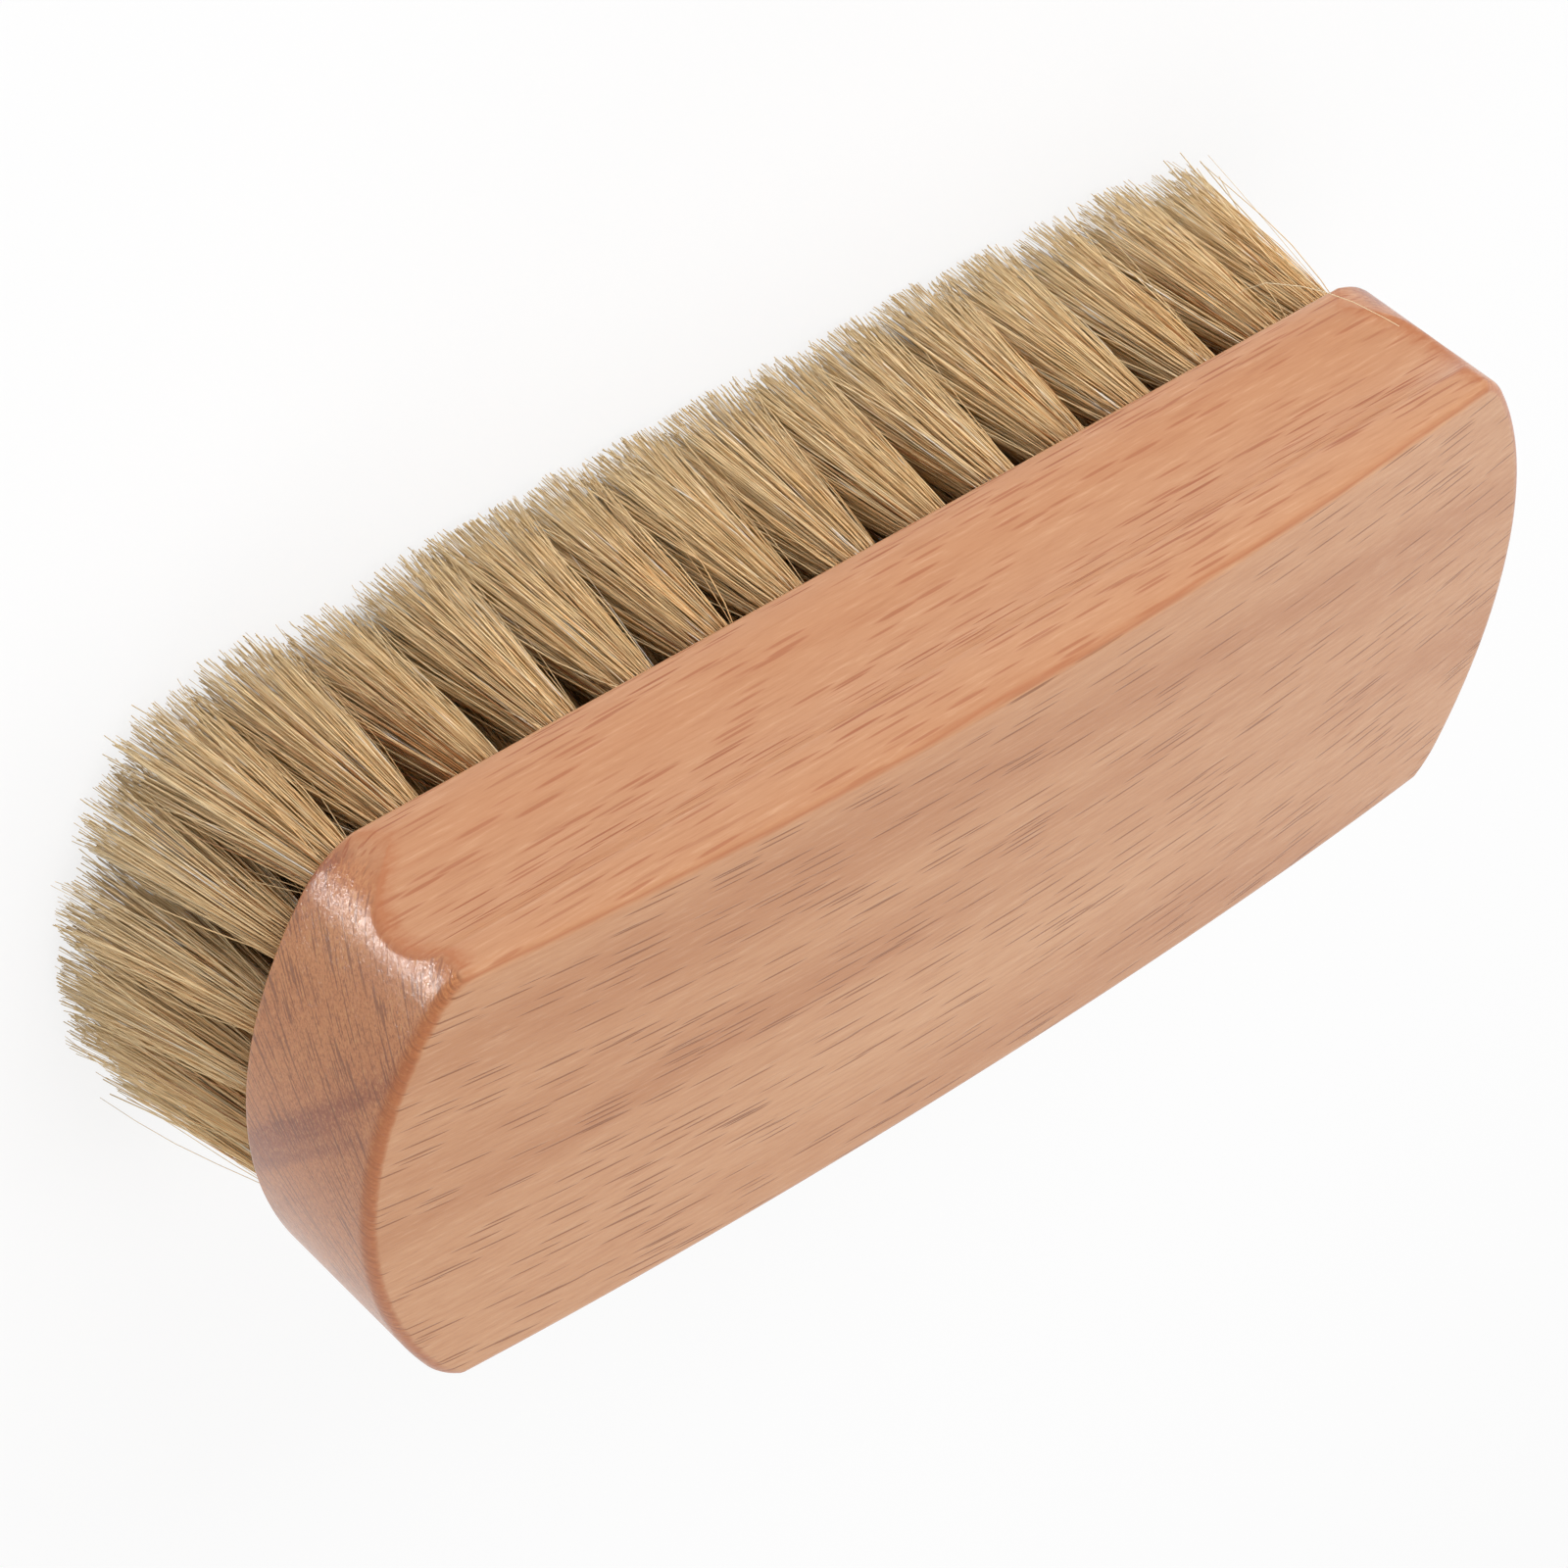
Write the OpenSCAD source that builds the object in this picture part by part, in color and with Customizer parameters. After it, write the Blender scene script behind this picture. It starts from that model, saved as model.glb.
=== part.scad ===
// Shoe shine brush: a beech block with bristle tufts folded round flat wire anchors.
// The brush stands on its trimmed bristle tips at z = 0, with the wooden back on top.
// +X runs along the brush, and -Y is the long side that is seen first.

/* [Block] */
// Length of the wooden block
block_length = 155; // [135:1:185]
// Width across the widest line of the long sides
block_width = 60.3; // [54:0.1:70]
// Thickness at the two ends
end_thickness = 19.1; // [17:0.1:24]
// Rise of the crowned back from its ends to its middle
back_crown = 3.9; // [1:0.1:6]
// Radius of the arched ends, seen from above
end_radius = 48.4; // [42:0.1:60]
// Radius of the upright rounded corners
corner_radius = 10.2; // [8:0.1:14]
// Radius that softens the long edges of the back
back_edge_radius = 2.5; // [1.5:0.1:3]

/* [Finger groove] */
// Radius of the convex bulge below the groove
bulge_radius = 7; // [5:0.1:9]
// Radius of the groove's hollow
groove_radius = 8.5; // [7:0.1:11]
// Depth of the groove, measured from the bulge
groove_depth = 2.85; // [2:0.05:3.2]
// Height of the groove's deepest line above the flat face
groove_height = 11.7; // [10:0.1:12.5]
// Radius of the ridge above the groove
ridge_radius = 1.5; // [1:0.1:3]
// How far the ridge lies inside the bulge
ridge_inset = 1.3; // [0.6:0.05:1.6]
// Radius of the roll between the ridge and the back
roll_radius = 15; // [12:0.5:25]

/* [Tuft layout] */
// Distance from the block's outline to the outer ring of tufts
ring_inset = 5.3; // [4.8:0.1:7]
// Tufts along each long side, without the corner tufts
side_tufts = 13; // [9:2:13]
// Rows of tufts between the two long sides
inner_rows = 5; // [3:1:5]
// Tufts in each inner row, without the end tufts
inner_tufts = 14; // [8:1:14]
// Spacing from a corner tuft to the side row, as a share of the row's spacing
corner_share = 0.845; // [0.7:0.005:1]
// Turn of the corner tufts round their corner, from the +X axis
corner_turn = 50; // [35:1:60]

/* [Bristles] */
// Length of the bristles below the block
bristle_length = 25; // [18:0.5:30]
// Lean of the outermost tufts, measured at their tips
tip_lean = 2.2; // [1:0.1:4]
// Share of this lean that is lost towards the corners
corner_ease = 1; // [0:0.05:1]
// Strands of a tuft in the outer ring, round its middle strand
ring_strands = 5; // [4:1:5]
// Strands of a tuft in an inner row
inner_strands = 3; // [3:1:3]
// Distance of a strand from the tuft's axis at the block
root_spread = 1.5; // [1.3:0.05:1.5]
// Distance of a strand from the tuft's axis at the tips
tip_spread = 3.3; // [2.5:0.1:3.4]
// Radius of a strand at the block
strand_root_radius = 0.7; // [0.5:0.05:0.8]
// Radius of a strand at its tip
strand_tip_radius = 0.75; // [0.5:0.05:0.8]
// Bow of a strand, as the share of its spread that it has at half length
strand_bow = 0.42; // [0.35:0.01:0.5]

/* [Holes and anchors] */
// Diameter of a tuft hole
hole_diameter = 5; // [4.6:0.1:5.4]
// Depth of a tuft hole
hole_depth = 11; // [9:0.5:12]
// Gap between a bundle or an anchor and the wood around it
fit_clearance = 0.05; // [0.02:0.01:0.1]
// Gap between a bundle and the bottom of its hole
bottom_clearance = 0.3; // [0.1:0.1:0.6]
// Thickness of the bristle fold above the anchor
fold_thickness = 2; // [1.5:0.1:2.5]
// Thickness of the anchor wire
anchor_thickness = 0.35; // [0.3:0.05:0.6]
// Height of the anchor wire along the hole
anchor_height = 1.8; // [1.4:0.1:2.4]
// How far each end of the anchor bites into the wood
anchor_bite = 0.6; // [0.4:0.1:0.8]

/* [Hidden] */
round_fn = 32;
arc_fn = 180;
crown_fn = 1440;
through = 1;

half_width = block_width / 2;
half_length = block_length / 2;
face_z = bristle_length;
middle_thickness = end_thickness + back_crown;
top_z = face_z + middle_thickness;

// The back is an arc about an axis along Y, far below the brush.
crown_radius = (half_length ^ 2 + back_crown ^ 2) / (2 * back_crown);
crown_axis_z = top_z - crown_radius;

// Plan outline: each end arc touches two corner arcs from outside.
end_centre_x = half_length - end_radius;
corner_y = half_width - corner_radius;
corner_reach = end_radius - corner_radius;
arc_overlap = 0.02;
corner_x = end_centre_x + sqrt(corner_reach ^ 2 - corner_y ^ 2);
end_half_angle = asin(corner_y / corner_reach);

// Long side in cross-section, as [distance from the middle, height above the flat face].
groove_y = half_width - groove_depth + groove_radius;
bulge_y = half_width - bulge_radius;
bulge_height = groove_height - touch_leg(bulge_radius + groove_radius, groove_y - bulge_y);
ridge_y = half_width - ridge_inset - ridge_radius;
ridge_height = groove_height + touch_leg(ridge_radius + groove_radius, groove_y - ridge_y);
roll_y = half_width - ridge_inset - roll_radius;
bulge_angle = atan2(groove_height - bulge_height, groove_y - bulge_y);
ridge_angle = atan2(ridge_height - groove_height, groove_y - ridge_y);
bulge_end = [
    bulge_y + bulge_radius * cos(bulge_angle),
    bulge_height + bulge_radius * sin(bulge_angle)
];
ridge_start = [
    ridge_y + ridge_radius * cos(ridge_angle),
    ridge_height - ridge_radius * sin(ridge_angle)
];
stock_height = middle_thickness + through;
roll_top_y = roll_y + touch_leg(roll_radius, stock_height - ridge_height);
barrel_half_width = half_width - ridge_inset + fit_clearance;

// Tuft places on the flat face, as [x, y].
ring_y = half_width - ring_inset;
row_step = 2 * ring_y / (inner_rows + 1);
corner_tuft = [
    corner_x + (corner_radius - ring_inset) * cos(corner_turn),
    corner_y + (corner_radius - ring_inset) * sin(corner_turn)
];
side_step = 2 * corner_tuft.x / (side_tufts - 1 + 2 * corner_share);
end_reach = end_reach_at(0);
front_row = [for (i = [1:side_tufts]) side_place(i, -ring_y)];
back_row = [for (i = [1:side_tufts]) side_place(i, ring_y)];
right_end = concat(
    [[corner_tuft.x, -corner_tuft.y]],
    [for (j = [1:inner_rows]) [end_reach_at(row_y(j)), row_y(j)]],
    [corner_tuft]
);
left_end = [for (p = right_end) [-p.x, p.y]];

// Bundle in its hole, measured from the flat face up along the hole.
bundle_radius = hole_diameter / 2 - fit_clearance;
bundle_top = hole_depth - bottom_clearance;
slot_top = bundle_top - fold_thickness;
slot_height = anchor_height + 2 * fit_clearance;
slot_thickness = anchor_thickness + 2 * fit_clearance;
anchor_length = hole_diameter + 2 * anchor_bite;
strand_start = 1;

// Third side of a right triangle, from its long side and one short side
function touch_leg(long_side, short_side) = sqrt(long_side ^ 2 - short_side ^ 2);
function numbered(stem, i) = str(stem, "_", i);
function row_y(j) = -ring_y + j * row_step;
function end_reach_at(y) = end_centre_x + touch_leg(end_radius - ring_inset, y);
function side_place(i, y) = [(i - (side_tufts + 1) / 2) * side_step, y];
function inner_place(i, j) = [
    end_reach_at(row_y(j)) * (2 * i / (inner_tufts + 1) - 1),
    row_y(j)
];
function inner_row(j) = [for (i = [1:inner_tufts]) inner_place(i, j)];
function all_places() = concat(
    front_row,
    back_row,
    left_end,
    right_end,
    [for (j = [1:inner_rows]) each inner_row(j)]
);

// Sideways shift of a tuft's axis between the flat face and its tips
function lean(place) =
    let (
        u = place.x / end_reach,
        v = place.y / ring_y
    )
        tip_lean * [u * (1 - corner_ease * v ^ 2), v * (1 - corner_ease * u ^ 2)];

// Centre of a strand at a share s of the way from the flat face to the tips
function strand_centre(place, spread, turn, s) = [
    place.x + lean(place).x * s + spread * cos(turn),
    place.y + lean(place).y * s + spread * sin(turn),
    face_z - bristle_length * s
];
function triangle(centre, radius, turn) = [
    for (k = [0:2]) [
        centre.x + radius * cos(turn + 120 * k),
        centre.y + radius * sin(turn + 120 * k),
        centre.z
    ]
];

// One strand: three triangles from inside the bundle to the trimmed tip
module strand(place, turn, from_axis, to_axis, root_r, tip_r) {
    shares = [-strand_start / bristle_length, 0.5, 1];
    bows = [0, strand_bow, 1];
    points = [
        for (n = [0:2])
            each triangle(
                strand_centre(place, from_axis + (to_axis - from_axis) * bows[n], turn, shares[n]),
                root_r + (tip_r - root_r) * bows[n],
                turn
            )
    ];
    sides = [
        for (n = [0:1], k = [0:2])
            let (next = (k + 1) % 3)
                each [
                    [3 * n + k, 3 * n + next, 3 * n + 3 + next],
                    [3 * n + k, 3 * n + 3 + next, 3 * n + 3 + k]
                ]
    ];
    polyhedron(points = points, faces = concat([[2, 1, 0]], sides, [[6, 7, 8]]));
}

// Places its children in a tuft hole, with +Z running up the hole's axis
module in_hole(place) {
    shift = lean(place);
    tilt = atan2(norm(shift), bristle_length);
    heading = atan2(-shift.y, -shift.x);
    translate([place.x, place.y, face_z])
        rotate([0, tilt, heading])
            rotate([0, 0, -heading])
                children();
}

module anchor_bar(length, height, thickness) {
    translate([-length / 2, -thickness / 2, slot_top - fit_clearance - anchor_height / 2 - height / 2])
        cube([length, thickness, height]);
}

// Folded bundle in its hole, with the slot where the anchor holds it
module bundle(place) {
    in_hole(place)
        difference() {
            cylinder(r = bundle_radius, h = bundle_top, $fn = round_fn);
            anchor_bar(2 * hole_diameter, slot_height, slot_thickness);
        }
}

module ring_tuft(place) {
    outward = atan2(place.y, place.x);
    color([0.82, 0.71, 0.52])
        union() {
            bundle(place);
            strand(place, outward, 0, 0, strand_root_radius, strand_tip_radius);
            for (n = [0:ring_strands - 1])
                strand(
                    place,
                    outward + 360 * n / ring_strands,
                    root_spread,
                    tip_spread,
                    strand_root_radius,
                    strand_tip_radius
                );
        }
}

module inner_tuft(place) {
    outward = atan2(place.y, place.x);
    color([0.78, 0.67, 0.48])
        union() {
            bundle(place);
            for (n = [0:inner_strands - 1])
                strand(
                    place,
                    outward + 360 * n / inner_strands,
                    root_spread,
                    tip_spread,
                    strand_root_radius,
                    strand_tip_radius
                );
        }
}

module inner_tuft_row(j) {
    for (place = inner_row(j))
        inner_tuft(place);
}

// Shallow arc at one end of the outline, between its two corner arcs
module plan_end() {
    reach = 2 * end_radius;
    intersection() {
        translate([end_centre_x, 0])
            rotate(180)
                circle(r = end_radius, $fn = arc_fn);
        polygon([
            [end_centre_x, 0],
            [end_centre_x + reach * cos(end_half_angle), reach * sin(end_half_angle)],
            [end_centre_x + reach * cos(end_half_angle), -reach * sin(end_half_angle)]
        ]);
    }
}

// The block's outline seen from above
module plan_outline() {
    union() {
        square([2 * corner_x, block_width], center = true);
        for (side = [0, 1])
            mirror([side, 0])
                union() {
                    plan_end();
                    for (y = [-corner_y, corner_y])
                        translate([corner_x, y])
                            rotate(180)
                                circle(r = corner_radius + arc_overlap, $fn = arc_fn);
                    polygon([
                        [end_centre_x, 0],
                        [corner_x, -corner_y],
                        [corner_x, corner_y]
                    ]);
                }
    }
}

// Half of the moulded cross-section: bulge, groove, ridge and roll in turn
module half_section() {
    difference() {
        union() {
            polygon([
                [0, 0],
                [bulge_y, 0],
                bulge_end,
                ridge_start,
                [half_width - ridge_inset, ridge_height],
                [roll_top_y, stock_height],
                [0, stock_height]
            ]);
            intersection() {
                translate([bulge_y, bulge_height])
                    circle(r = bulge_radius, $fn = arc_fn);
                square([block_width, stock_height]);
            }
            translate([ridge_y, ridge_height])
                circle(r = ridge_radius, $fn = arc_fn);
            intersection() {
                translate([roll_y, ridge_height])
                    circle(r = roll_radius, $fn = arc_fn);
                translate([roll_y, ridge_height])
                    square([block_width, stock_height - ridge_height]);
            }
        }
        translate([groove_y, groove_height])
            circle(r = groove_radius + arc_overlap, $fn = arc_fn);
    }
}

module moulding() {
    translate([-half_length - through, 0, face_z])
        rotate([90, 0, 90])
            linear_extrude(block_length + 2 * through)
                union() {
                    half_section();
                    mirror([1, 0])
                        half_section();
                }
}

// Barrel whose curved face is the crowned back, with softened rims above the groove
module crowned_barrel() {
    rim_y = barrel_half_width - back_edge_radius;
    floor_r = crown_radius - 2 * middle_thickness;
    groove_r = crown_radius - middle_thickness + groove_height + back_crown / 2;
    translate([0, 0, crown_axis_z])
        rotate([90, 0, 0])
            rotate_extrude($fn = crown_fn)
                union() {
                    translate([floor_r, -block_width])
                        square([groove_r - floor_r, 2 * block_width]);
                    translate([floor_r, -barrel_half_width])
                        square([crown_radius - back_edge_radius - floor_r, 2 * barrel_half_width]);
                    translate([floor_r, -rim_y])
                        square([crown_radius - floor_r, 2 * rim_y]);
                    for (y = [-rim_y, rim_y])
                        translate([crown_radius - back_edge_radius, y])
                            circle(r = back_edge_radius, $fn = arc_fn);
                }
}

module tuft_hole(place) {
    in_hole(place)
        union() {
            translate([0, 0, -through])
                cylinder(d = hole_diameter, h = hole_depth + through, $fn = round_fn);
            anchor_bar(
                anchor_length + 2 * fit_clearance,
                slot_height,
                slot_thickness
            );
        }
}

module block() {
    color([0.80, 0.58, 0.44])
        difference() {
            intersection() {
                moulding();
                translate([0, 0, face_z])
                    linear_extrude(stock_height)
                        plan_outline();
                crowned_barrel();
            }
            for (place = all_places())
                tuft_hole(place);
        }
}

module anchors() {
    color([0.66, 0.67, 0.68])
        for (place = all_places())
            in_hole(place)
                anchor_bar(anchor_length, anchor_height, anchor_thickness);
}

block();
anchors();
for (i = [1:side_tufts])
    ring_tuft(front_row[i - 1]);
for (i = [1:side_tufts])
    ring_tuft(back_row[i - 1]);
for (i = [1:inner_rows + 2])
    ring_tuft(left_end[i - 1]);
for (i = [1:inner_rows + 2])
    ring_tuft(right_end[i - 1]);
for (j = [1:inner_rows])
    inner_tuft_row(j);
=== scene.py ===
# Looks of a shoe shine brush: a lacquered beech block over tufts of blond bristle.
# Metres, +Z up, bristle tips at z = 0. +X and -Y are the end and the side seen first.
import math

import bpy
import numpy as np
from mathutils import Matrix, Vector


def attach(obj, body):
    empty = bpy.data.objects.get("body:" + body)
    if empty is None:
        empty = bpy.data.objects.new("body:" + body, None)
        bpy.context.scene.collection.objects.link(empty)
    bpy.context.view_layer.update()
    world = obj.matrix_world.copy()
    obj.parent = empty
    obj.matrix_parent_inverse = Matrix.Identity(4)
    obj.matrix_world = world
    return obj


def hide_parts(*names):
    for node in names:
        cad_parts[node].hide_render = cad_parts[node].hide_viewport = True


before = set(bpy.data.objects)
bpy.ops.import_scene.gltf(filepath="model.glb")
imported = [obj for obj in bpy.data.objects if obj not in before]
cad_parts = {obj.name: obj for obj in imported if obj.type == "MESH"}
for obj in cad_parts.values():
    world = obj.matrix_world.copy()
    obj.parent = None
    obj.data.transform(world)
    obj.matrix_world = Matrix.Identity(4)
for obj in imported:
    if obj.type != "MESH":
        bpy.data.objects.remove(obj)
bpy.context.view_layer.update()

MM = 0.001

# Height of the block's flat face above the tips
FACE_Z = 25.0 * MM

# Block, with the same driving sizes as the construction
HALF_LENGTH = 77.5 * MM
HALF_WIDTH = 30.15 * MM
END_THICKNESS = 19.1 * MM
BACK_CROWN = 3.9 * MM
END_RADIUS = 48.4 * MM
CORNER_RADIUS = 10.2 * MM
BULGE_RADIUS = 7.0 * MM
GROOVE_RADIUS = 8.5 * MM
GROOVE_DEPTH = 2.85 * MM
GROOVE_HEIGHT = 11.7 * MM
RIDGE_RADIUS = 1.5 * MM
RIDGE_INSET = 1.3 * MM
ROLL_RADIUS = 15.0 * MM

# Sanded edges
CREASE_RADIUS = 1.7 * MM
RIM_RADIUS = 1.3 * MM
FOOT_RADIUS = 0.6 * MM

# Burnished colour beside the creases: its reach along the side, the turn over which it
# grows round the corner, and its share along the rim of the side
BURNISH_REACH = 1.8 * MM
BURNISH_TURN = 0.6
BURNISH_SHARE = 0.6

# Steps of the block's mesh: round a quarter of the outline, along half a side, where they
# gather towards the crease, up the wall, and across the back
TURN_STEPS = 72
SIDE_STEPS = 44
SIDE_GATHER = 1.6
FOOT_STEPS = 4
WALL_STEPS = 64
RIM_STEPS = 8
ACROSS_STEPS = 28

# Least cosine that a lean is divided by
SMALLEST_COSINE = 0.02

# Tuft layout, as in the construction
RING_INSET = 5.3 * MM
SIDE_TUFTS = 13
INNER_ROWS = 5
INNER_TUFTS = 14
CORNER_SHARE = 0.845
CORNER_TURN = math.radians(50)

# Shape of a tuft: its lean outwards, its sway and skew from use, and its fan of clumps
TIP_LEAN = 2.2 * MM
TIP_SWAY = (2.0 * MM, -1.6 * MM)
TIP_SKEW = 1.8 * MM
LEAN_SCATTER = 0.7 * MM
ROOT_DEPTH = 0.8 * MM
TUFT_ROOT_RADIUS = 2.35 * MM
TUFT_FAN = 3.7 * MM
FAN_SCATTER = 0.1
SEAT_SHARE = 0.84
CLUMPS = 12
CLUMP_SPAN = 0.8
CLUMP_SHARE = 0.2
FARTHEST_TIP = (82 * MM, 32.9 * MM)
EDGE_SCATTER = 0.8 * MM

# Hairs of a tuft: their number and shape, and how their tips, bends and lengths vary
RING_HAIRS = 470
INNER_HAIRS = 190
HAIR_RINGS = 6
HAIR_SIDES = 3
HAIR_RADIUS = 0.062 * MM
HAIR_SIZES = (0.6, 1.5)
HAIR_TAPER = 0.22
HAIR_FLARE = 0.2
SEAT_SCATTER = 0.6
TIP_SCATTER = 0.45 * MM
TRIM_SCATTER = 0.4 * MM
CLUMP_TRIM = 0.8 * MM
SHORT_SHARE = 0.1
SHORT_BY = (0.5 * MM, 4 * MM)
BEND = 0.3 * MM
CURL = 0.12 * MM
STRAY_SHARE = 0.1
STRAY_TIP = 3.5 * MM
STRAY_BEND = 1.6 * MM
FIRST_SEED = 100

# Tones of the hairs: straw from here up to 1, reddish brown between two limits, and black
STRAW_TONE = 0.2
BROWN_TONES = (0.07, 0.17)
BLACK_TONE = 0.02

# Share of brown and black hairs, with more brown ones deep inside as painted shade, and in one
# side of a tuft
BROWN_SHARE = 0.04
BLACK_SHARE = 0.012
PAINTED_SHADE_BROWN = 0.15
PAINTED_SHADE_SEAT = 0.75
BROWN_TUFT = "tuft_front_12"
BROWN_TUFT_SEAT = 0.3
BROWN_TUFT_SHARE = 0.5

# Single hairs that stand out: tone, then points in millimetres
STRAY_HAIRS = [
    (
        0.95,
        [
            (-54.1, -27, 17.7),
            (-56.1, -30, 19.7),
            (-57.2, -31.5, 21.5),
            (-59.2, -32, 24.5),
            (-60.6, -32, 26.8),
            (-61.7, -32, 29.6),
            (-62.4, -32, 33.1),
            (-62.7, -32, 35.3),
        ],
    ),
    (0.1, [(75.7, -0.3, 25.5), (76.5, 0.1, 22.8), (79, 1.3, 13.3), (81.5, 2.7, 4.7)]),
]

# Wood: turn of its rays round the X axis, from +Y, and depth of its bumps
RAY_TURN = math.radians(50)
BUMP_DEPTH = 0.1 * MM

# Scales of the wood's textures along its fibres, its rays and its rings, per metre
BAND_SCALE = (7, 110, 16)
FIBRE_SCALE = (150, 2200, 2200)
FLECK_SCALE = (72, 300, 2700)
STREAK_SCALE = (95, 1300, 2500)
RING_SCALE = (7, 130, 12)
RING_OFFSET = (2, 5, 1)
SPECKLE_SCALE = (400, 2200, 4600)
LINE_SCALE = (500, 170, 3600)
WEAR_SCALE = (700, 1500, 1500)
WRINKLE_SCALE = (800, 1500, 1500)

# Scales of the textures along X, Y and Z, per metre
BROW_SCALE = (45, 700, 700)
PATCH_SCALE = (150, 150, 60)
GLINT_SCALE = (330, 330, 150)
WIRE_SCALE = (200, 8000, 8000)

# Colours of the wood along its fibres
BAND_DARK = (0.5, 0.225, 0.1)
BAND_MIDDLE = (0.56, 0.275, 0.133)
BAND_PALE = (0.61, 0.32, 0.165)
# Redder colour of the long sides, made darker as painted shade
SIDE_RED_AND_PAINTED_SHADE = (0.48, 0.21, 0.098)
FIBRE_DARK = (0.4, 0.15, 0.06)
FIBRE_PALE = (0.72, 0.43, 0.25)
FLECK_BACK = (0.23, 0.075, 0.02)
FLECK_SIDE = (0.33, 0.09, 0.03)
STREAK_RED = (0.36, 0.1, 0.035)

# Colours of the wood's end grain and worn edges
RING_DARK = (0.36, 0.106, 0.04)
RING_MIDDLE = (0.53, 0.192, 0.069)
RING_PALE = (0.61, 0.245, 0.09)
SPECKLE_DARK = (0.2, 0.06, 0.02)
SPECKLE_PALE = (0.66, 0.34, 0.13)
LINE_DARK = (0.16, 0.045, 0.015)
BROW_RED = (0.42, 0.14, 0.055)
BURNISH_RED = (0.42, 0.13, 0.04)

# Colours of the hairs by tone, and of the painted shade at their roots, darker patches, tips and
# painted glints
HAIR_COLOURS = [
    (0.04, (0.03, 0.018, 0.012)),
    (0.07, (0.33, 0.1, 0.03)),
    (0.17, (0.52, 0.22, 0.07)),
    (0.22, (1.0, 0.62, 0.29)),
    (0.5, (1.0, 0.73, 0.4)),
    (0.85, (1.0, 0.8, 0.49)),
    (1.0, (1.0, 0.93, 0.75)),
]
PAINTED_ROOT_SHADE = (0.5, 0.22, 0.07)
PATCH_BROWN = (0.74, 0.46, 0.2)
TIP_PALE = (1.0, 0.82, 0.53)
PAINTED_GLINT_WHITE = (1.0, 0.97, 0.9)
SHEEN_TINT = (1.0, 0.7, 0.34, 1)

# Floor: half its size, its drop below the tips, its colour, and the footprint of the brush
FLOOR_REACH = 3
FLOOR_DROP = 0.2 * MM
FLOOR_WHITE = (0.95, 0.95, 0.95, 1)
FOOTPRINT = (77 * MM, 29 * MM)

# Softboxes: name, place, width, height and power in watts
SOFTBOXES = [
    ("front_softbox", (-0.25, -0.92, 0.35), 0.9, 0.7, 7.4),
    ("top_softbox", (-0.1, 0.1, 1.0), 0.8, 0.8, 5.3),
    ("end_softbox", (0.6, 0.7, 0.25), 0.6, 0.6, 2.5),
]
LAMP_AIM = (0, 0, 0.03)

# Strength of the even light from all round
AMBIENT = 0.3

# The photo's viewpoint: above the near end, rolled so that the bristle points up
CAMERA_PLACE = (0.25756, -0.35891, 0.28489)
CAMERA_RIGHT = (-0.75544, -0.04811, 0.65345)
CAMERA_UP = (-0.43582, -0.70779, -0.55596)
CAMERA_BACK = (0.48925, -0.70478, 0.51373)
CAMERA_LENS = 115.32
SENSOR_WIDTH = 36


def leg(long_side, short_side):
    """Third side of a right triangle, from its long side and one short side."""
    return math.sqrt(long_side**2 - short_side**2)


CROWN_RADIUS = (HALF_LENGTH**2 + BACK_CROWN**2) / (2 * BACK_CROWN)
END_CENTRE_X = HALF_LENGTH - END_RADIUS
CORNER_Y = HALF_WIDTH - CORNER_RADIUS
CORNER_X = END_CENTRE_X + leg(END_RADIUS - CORNER_RADIUS, CORNER_Y)
END_HALF_ANGLE = math.asin(CORNER_Y / (END_RADIUS - CORNER_RADIUS))
GROOVE_Y = HALF_WIDTH - GROOVE_DEPTH + GROOVE_RADIUS
BULGE_Y = HALF_WIDTH - BULGE_RADIUS
BULGE_HEIGHT = GROOVE_HEIGHT - leg(BULGE_RADIUS + GROOVE_RADIUS, GROOVE_Y - BULGE_Y)
RIDGE_Y = HALF_WIDTH - RIDGE_INSET - RIDGE_RADIUS
RIDGE_HEIGHT = GROOVE_HEIGHT + leg(RIDGE_RADIUS + GROOVE_RADIUS, GROOVE_Y - RIDGE_Y)
ROLL_Y = HALF_WIDTH - RIDGE_INSET - ROLL_RADIUS
BULGE_END = BULGE_HEIGHT + (GROOVE_HEIGHT - BULGE_HEIGHT) * BULGE_RADIUS / (
    BULGE_RADIUS + GROOVE_RADIUS
)
RIDGE_START = RIDGE_HEIGHT - (RIDGE_HEIGHT - GROOVE_HEIGHT) * RIDGE_RADIUS / (
    RIDGE_RADIUS + GROOVE_RADIUS
)


# Meshes
def new_mesh(name, points, faces, smooth=True, **values):
    """A mesh object from points and faces, with one float attribute per named value."""
    mesh = bpy.data.meshes.new(name)
    mesh.from_pydata(points.tolist(), [], faces)
    mesh.validate()
    for key, value in values.items():
        layer = mesh.attributes.new(key, "FLOAT", "POINT")
        layer.data.foreach_set("value", np.asarray(value, np.float32))
    if smooth:
        mesh.shade_smooth()
    obj = bpy.data.objects.new(name, mesh)
    bpy.context.scene.collection.objects.link(obj)
    return obj


def place_piece(obj, material, slot, *nodes):
    """Finishes a piece: its material, its body and the nodes it stands for. The slot is not used.
    """
    obj.data.materials.append(material)
    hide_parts(*nodes)
    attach(obj, "root")


# Block
def crown_height(x):
    """Height of the back above the flat face."""
    top = END_THICKNESS + BACK_CROWN
    return top - CROWN_RADIUS + leg(CROWN_RADIUS, x)


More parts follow.
